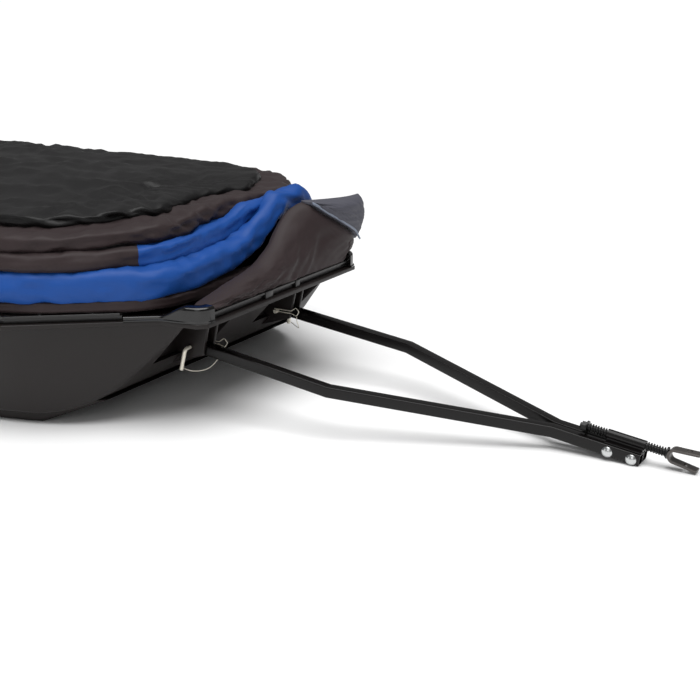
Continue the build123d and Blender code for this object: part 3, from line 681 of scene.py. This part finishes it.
class Shelter:
    """The folded shelter: bands round the rim, the blanket on top, the front panel and its grey corner."""

    SIZES = (
        ("skirt_cloth", LayerSize(0.012, 0.2775, 0.303, 1, 0.012, seed=1.3, crease=0.0025, sag=0.002,
                                  depth=0.06), BROWN_CLOTH, ("skirt_fabric",)),
        ("blue_cloth", LayerSize(0.008, 0.3025, 0.371, 1, 0.03, seed=4.1, crease=0.009, climb=0.1),
         BLUE_CLOTH, ("blue_fabric",)),
        ("brown_fold_cloth", LayerSize(0.024, 0.368, 0.41, 1, 0.024, seed=7.7, climb=0.05, tuck=0.03,
                                       crease=0.009, front_finish=BLUE_CLOTH), BROWN_CLOTH, ("brown_fold",)),
        ("brown_roll_cloth", LayerSize(0.040, 0.407, 0.452, 1, 0.03, seed=2.9, climb=0.016, tuck=0.05,
                                       crease=0.012, cover=True), BROWN_CLOTH, ("brown_roll",)),
        ("black_bundle_cloth", LayerSize(0.13, 0.449, 0.476, 1, 0.025, seed=9.2, tuck=0.05, crease=0.008,
                                         cover=True), BLACK_CLOTH, ("black_bundle",)),
    )

    def plan(self) -> Outline:
        """Plan outline of the pile."""
        x0 = HINGE_X
        return Outline(((x0 + 0.05, 0.338), (x0 - 0.245, 0.566), (x0 - 1.81, 0.566)), 0.12)

    def build(self) -> int:
        """Model every layer and panel."""
        plan = self.plan()
        for name, size, finish, nodes in self.SIZES:
            FabricLayer(name, size, finish, nodes).build(plan)
        FrontPanel().build()
        return len(self.SIZES) + 2


@dataclass(frozen=True)
class PanelSize:
    """The taut front panel, metres, x from the hinge."""

    half: float = 0.318
    foot_x: float = 0.127
    foot_z: float = 0.2775
    thick: float = 0.05
    lean: float = 0.055
    columns: int = 90
    rows: int = 34


class FrontPanel:
    """Front panel: a folded wall of cloth that rises from the bow rails, with the grey corner on its left."""

    EDGE = ((-0.318, 0.29), (-0.22, 0.303), (-0.05, 0.33), (0.03, 0.363), (0.1, 0.407), (0.13, 0.43),
            (0.17, 0.446), (0.33, 0.442))
    SEAM = ((0.17, 0.448), (0.2, 0.42), (0.262, 0.382), (0.321, 0.35), (0.345, 0.322))
    NEAR, FAR = 0.172, 0.346     # the grey corner's ends across the bow

    def __init__(self, size: PanelSize = PanelSize()) -> None:
        """Keep the panel's sizes."""
        self.size = size

    def top(self, y: float) -> float:
        """Height of the panel's top edge at a distance across."""
        return through(self.EDGE, y)

    def grey_edge(self, y: float) -> float:
        """Height of the seam under the grey corner."""
        return through(self.SEAM, y)

    def face_x(self, y: float, whole: float) -> float:
        """How far forward the panel's face lies: the near part leans back, the far part bellies out."""
        far = ease((y - 0.06) / 0.26)
        back = self.size.lean * max(0.0, whole) ** 1.3
        return HINGE_X + self.size.foot_x - back * (1 - far) + 0.034 * far * min(1.0, max(0.0, whole))

    def wrinkle(self, y: float, t: float) -> float:
        """Soft upright pulls in the stretched cloth."""
        pull = noise.noise(Vector((y * 14 + t * 2.0, t * 1.6, 3.0)))
        ridge = 1 - abs(noise.noise(Vector((y * 22 - t * 3, t * 2.2, 8.0)))) * 3
        fine = 1 - abs(noise.noise(Vector((y * 41 + t * 9, t * 5.0, 1.0)))) * 3
        return 0.005 * pull + 0.003 * ridge * ease((1 - t) * 1.5) + 0.0011 * fine

    def sheet(self, name: str, finish: Finish, y0: float, y1: float, low: Callable[[float], float],
              high: Callable[[float], float], out: float, nodes: Sequence[str]) -> bpy.types.Object:
        """Closed, thick sheet between two heights, rounded over at its edges."""
        s = self.size
        bm = bmesh.new()
        front, back = [], []
        for i in range(s.columns + 1):
            u = i / s.columns
            y = y0 + (y1 - y0) * u
            side = min(1.0, min(u, 1 - u) * 9)
            lines: tuple[list, list] = ([], [])
            for j in range(s.rows + 1):
                t = j / s.rows
                z = low(y) + (high(y) - low(y)) * t
                whole = (z - s.foot_z) / 0.15
                crown = (1 - max(0.0, (t - 0.72) / 0.28) ** 2.2) ** 0.5 if t > 0.72 else 1.0
                belly = 0.006 * math.sin(math.pi * min(1, t * 1.1))
                edge = (1 - (1 - side) ** 2.4)
                x_front = self.face_x(y, whole) + belly + self.wrinkle(y, t) + out
                depth = s.thick * crown * (0.25 + 0.75 * edge)
                x_mid = self.face_x(y, whole) - s.thick / 2
                x_front = x_mid + (x_front - x_mid) * crown * (0.25 + 0.75 * edge)
                lines[0].append(bm.verts.new((x_front, y, z)))
                lines[1].append(bm.verts.new((x_front - max(0.004, depth), y, z)))
            front.append(lines[0])
            back.append(lines[1])
        for i in range(s.columns):
            for j in range(s.rows):
                bm.faces.new((front[i][j], front[i + 1][j], front[i + 1][j + 1], front[i][j + 1]))
                bm.faces.new((back[i][j], back[i][j + 1], back[i + 1][j + 1], back[i + 1][j]))
            for j in (0, s.rows):
                bm.faces.new((front[i][j], back[i][j], back[i + 1][j], front[i + 1][j]))
        for i in (0, s.columns):
            for j in range(s.rows):
                bm.faces.new((front[i][j], front[i][j + 1], back[i][j + 1], back[i][j]))
        bmesh.ops.recalc_face_normals(bm, faces=bm.faces)
        return attach(finish_mesh(name, bm, finish), nodes)

    def build(self) -> None:
        """Model the brown panel, the grey corner and the piping between them."""
        s = self.size
        brown_top = lambda y: min(self.top(y), self.grey_edge(y) if y > 0.165 else 1.0)
        foot = lambda y: s.foot_z + 0.0185 * ease((y - 0.285) / 0.008)
        brown = self.sheet("front_panel_cloth", BROWN_CLOTH, -s.half, self.FAR, foot, brown_top, 0.0,
                           ["front_panel"])
        grey = self.sheet("grey_corner_cloth", GREY_CLOTH, self.NEAR, self.FAR,
                          lambda y: self.grey_edge(y) - 0.002, lambda y: self.top(y) + 0.002, 0.001,
                          ["grey_panel"])
        self.piping(grey)

    def piping(self, grey: bpy.types.Object) -> None:
        """Pale cord sewn along the seam under the grey corner."""
        s = self.size
        bm = bmesh.new()
        rings = []
        for i in range(41):
            y = self.NEAR + (self.FAR - 0.002 - self.NEAR) * i / 40
            z = self.grey_edge(y)
            whole = (z - s.foot_z) / 0.15
            x = self.face_x(y, whole) + 0.003
            rings.append([bm.verts.new((x + 0.003 * math.cos(a), y, z + 0.0035 * math.sin(a)))
                          for a in [math.tau * k / 10 for k in range(10)]])
        for a, b in zip(rings, rings[1:]):
            for j in range(10):
                bm.faces.new((a[j], b[j], b[(j + 1) % 10], a[(j + 1) % 10]))
        bm.faces.new(rings[0])
        bm.faces.new(rings[-1])
        bmesh.ops.recalc_face_normals(bm, faces=bm.faces)
        made = finish_mesh("grey_corner_piping", bm, PIPING_GREY)
        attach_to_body(made, "sled")


# ------------------------------------------------------------------ coupler springs
class Springs:
    """The two coils on the draw rod; the real ones shorten as the rod slides, these copies keep their shape.
    """

    PITCH = math.radians(7.68)   # how far the draw rod slopes down to the front

    def build(self) -> int:
        """Copy the coils in black steel and hide the CAD nodes."""
        for node, near in (("rear_spring", 1), ("front_spring", -1)):
            bm = bmesh.new()
            bm.from_mesh(frame["nodes"][node].data)
            bmesh.ops.remove_doubles(bm, verts=bm.verts, dist=2e-6)
            made = finish_mesh(node + "_look", bm, BLACK_STEEL, 60)
            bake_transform(made)
            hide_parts(node)
        return 2


# ------------------------------------------------------------------ lanyards
LANYARD = ((-7, 231, 107), (4, 229, 103), (18, 222, 100), (35, 208, 101), (46, 194, 107), (52, 180, 118),
           (56, 168, 131), (60, 160, 142), (62.5, 157.5, 147))


class Lanyards:
    """Steel wires from the pins' handles to their clips."""

    LENGTH = 0.1252
    DIAMETER = 0.002

    def build(self) -> int:
        for side, sign in (("left", 1), ("right", -1)):
            curve = bpy.data.curves.new("lanyard_" + side, "CURVE")
            curve.dimensions = "3D"
            spline = curve.splines.new("NURBS")
            spline.points.add(len(LANYARD) - 1)
            for point, (x, y, z) in zip(spline.points, LANYARD):
                point.co = (HINGE_X + x * MM, sign * y * MM, z * MM, 1)
            spline.order_u = 3
            spline.use_endpoint_u = True
            spline.resolution_u = 12
            curve.bevel_depth = self.DIAMETER / 2
            curve.bevel_resolution = 4
            curve.use_fill_caps = True
            curve.materials.append(PAINT.material(PIN_ZINC))
            made = bpy.data.objects.new("lanyard_" + side, curve)
            bpy.context.scene.collection.objects.link(made)
            attach(made, ["pin_lanyard_" + side])
            x, y, z = LANYARD[0]
        return 2


# ------------------------------------------------------------------ caps
class CornerCaps:
    """Polished covers on the rim's two front corners: a flat tail that rises to a rounded boss."""

    HEIGHT = 0.036
    TAIL = 0.011
    LINE = ((-0.042, 0.3935), (-0.006, 0.3665), (0.032, 0.341), (0.09, 0.3285), (0.112, 0.322),
            (0.122, 0.31), (0.124, 0.296))
    FOOT = 0.2582

    def build(self) -> int:
        """Model both caps."""
        for side, sign in (("left", 1), ("right", -1)):
            self.cap(side, sign)
        return 2

    def cap(self, side: str, sign: int) -> bpy.types.Object:
        """Sweep the cap's section round the rim's corner."""
        line = [Vector((HINGE_X + x, y, 0)) for x, y in self.LINE]
        stations = []
        for i, p in enumerate(line[:-1]):
            for k in range(10):
                stations.append(p.lerp(line[i + 1], k / 10))
        stations.append(line[-1])
        for _ in range(6):
            inner = [(a + b * 2 + c) / 4 for a, b, c in zip(stations, stations[1:], stations[2:])]
            stations = [stations[0]] + inner + [stations[-1]]
        bm = bmesh.new()
        rings = []
        count = len(stations)
        for i, p in enumerate(stations):
            ahead = (stations[min(i + 1, count - 1)] - stations[max(i - 1, 0)]).normalized()
            out = Vector((ahead.y, -ahead.x, 0)) * -1
            u = i / (count - 1)
            height = self.TAIL + (self.HEIGHT - self.TAIL) * ease((u - 0.3) / 0.2)
            half = 0.0125 + 0.0045 * ease((u - 0.25) / 0.25)
            round_off = min(height * 0.45, 0.007)
            profile = [(-half - 0.003, 0.0), (-half - 0.003, 0.003), (-half, 0.0045)]
            corner = [math.radians(d) for d in (0, 22, 45, 68, 90)]
            profile += [(-half + round_off * (1 - math.cos(a)),
                         height - round_off + round_off * math.sin(a)) for a in corner]
            profile += [(-x, z) for x, z in reversed(profile)]
            rings.append([bm.verts.new((p.x + out.x * x, sign * (p.y + out.y * x), self.FOOT + z))
                          for x, z in profile])
        for a, b in zip(rings, rings[1:]):
            for j in range(len(a)):
                k = (j + 1) % len(a)
                bm.faces.new((a[j], b[j], b[k], a[k]))
        bm.faces.new(rings[0])
        bm.faces.new(rings[-1])
        bmesh.ops.recalc_face_normals(bm, faces=bm.faces)
        return attach(finish_mesh("corner_cap_" + side, bm, CAP_PLASTIC, 50), ["front_cap_" + side])


# ------------------------------------------------------------------ seats
class SeatPads:
    """Two padded seat tops under the folded shelter."""

    def build(self) -> int:
        """Model both pads as cushions with rounded corners and edges."""
        for side in ("left", "right"):
            low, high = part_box("seat_pad_" + side)
            bm = bmesh.new()
            bmesh.ops.create_cube(bm, size=1)
            for v in bm.verts:
                v.co = Vector([(low[i] + high[i]) / 2 + v.co[i] * (high[i] - low[i]) for i in range(3)])
            upright = [e for e in bm.edges if abs((e.verts[0].co - e.verts[1].co).normalized().z) > 0.9]
            bmesh.ops.bevel(bm, geom=upright, offset=0.05, segments=6, profile=0.5, affect="EDGES",
                            material=-1)
            rims = [e for e in bm.edges if e.calc_face_angle(0.0) > 1.0]
            bmesh.ops.bevel(bm, geom=rims, offset=0.011, segments=4, profile=0.5, affect="EDGES", material=-1)
            made = finish_mesh("seat_pad_look_" + side, bm, SEAT_VINYL, 40)
            attach(made, ["seat_pad_" + side])
        return 2


# ------------------------------------------------------------------ studio
class Studio:
    """Pale floor, soft light from above and in front, and the camera."""

    AZIMUTH, ELEVATION, DISTANCE = 30.395, 17.205, 3.167
    TARGET = Vector((HINGE_X + 0.2713, 0.0722, 0.1135))
    LENS = 66.59

    def build(self) -> None:
        """Make the floor, lights, world and camera."""
        bm = bmesh.new()
        bmesh.ops.create_circle(bm, cap_ends=True, segments=96, radius=45)
        floor = finish_mesh("studio_floor", bm, STAGE_WHITE)
        self.light("SUN", "overhead", (0.0, 0.0, 4.0), (math.radians(6), math.radians(6), 0), 3.3, 60)
        self.area("front_box", Vector((1.8, -3.2, 1.5)), Vector((0.2, 0, 0.2)), 2.2, 16)
        self.area("side_box", Vector((-1.6, -3.4, 1.1)), Vector((0, 0, 0.2)), 1.8, 8)
        world = bpy.data.worlds.new("studio")
        world.use_nodes = True
        background = world.node_tree.nodes["Background"]
        background.inputs["Color"].default_value = (1, 1, 1, 1)
        background.inputs["Strength"].default_value = 0.2
        bpy.context.scene.world = world
        self.camera()

    def light(self, kind: str, name: str, place: Sequence[float], turn: Sequence[float], power: float,
              angle: float) -> None:
        """Add a lamp with a place, a turn and a spread."""
        data = bpy.data.lights.new(name, kind)
        data.energy = power
        data.angle = math.radians(angle)
        made = bpy.data.objects.new(name, data)
        made.location = place
        made.rotation_euler = turn
        bpy.context.scene.collection.objects.link(made)

    def area(self, name: str, place: Vector, aim: Vector, size: float, power: float) -> None:
        """Add a square soft box."""
        data = bpy.data.lights.new(name, "AREA")
        data.energy = power
        data.size = size
        made = bpy.data.objects.new(name, data)
        made.location = place
        made.rotation_euler = (aim - place).to_track_quat("-Z", "Y").to_euler()
        bpy.context.scene.collection.objects.link(made)

    def camera(self) -> None:
        """Place the camera at the studied view."""
        data = bpy.data.cameras.new("camera")
        data.lens = self.LENS
        data.sensor_width = 36
        data.clip_end = 200
        a, e = math.radians(self.AZIMUTH), math.radians(self.ELEVATION)
        place = self.TARGET + self.DISTANCE * Vector((math.sin(a) * math.cos(e), -math.cos(a) * math.cos(e),
                                                      math.sin(e)))
        made = bpy.data.objects.new("camera", data)
        made.location = place
        made.rotation_euler = (self.TARGET - place).to_track_quat("-Z", "Y").to_euler()
        bpy.context.scene.collection.objects.link(made)
        bpy.context.scene.camera = made


def main() -> None:
    """Build every sub-assembly and report each."""
    logging.basicConfig(level=logging.INFO, format="%(message)s")
    bpy.context.scene.view_settings.view_transform = "Standard"
    for name, build in (("lanyards", Lanyards().build), ("hard pieces", HardPieces().build),
                        ("springs", Springs().build), ("corner caps", CornerCaps().build),
                        ("seat pads", SeatPads().build), ("shelter", Shelter().build)):
        LOG.info("%s: %s pieces", name, build())
    Studio().build()


if __name__ == "__main__":
    main()
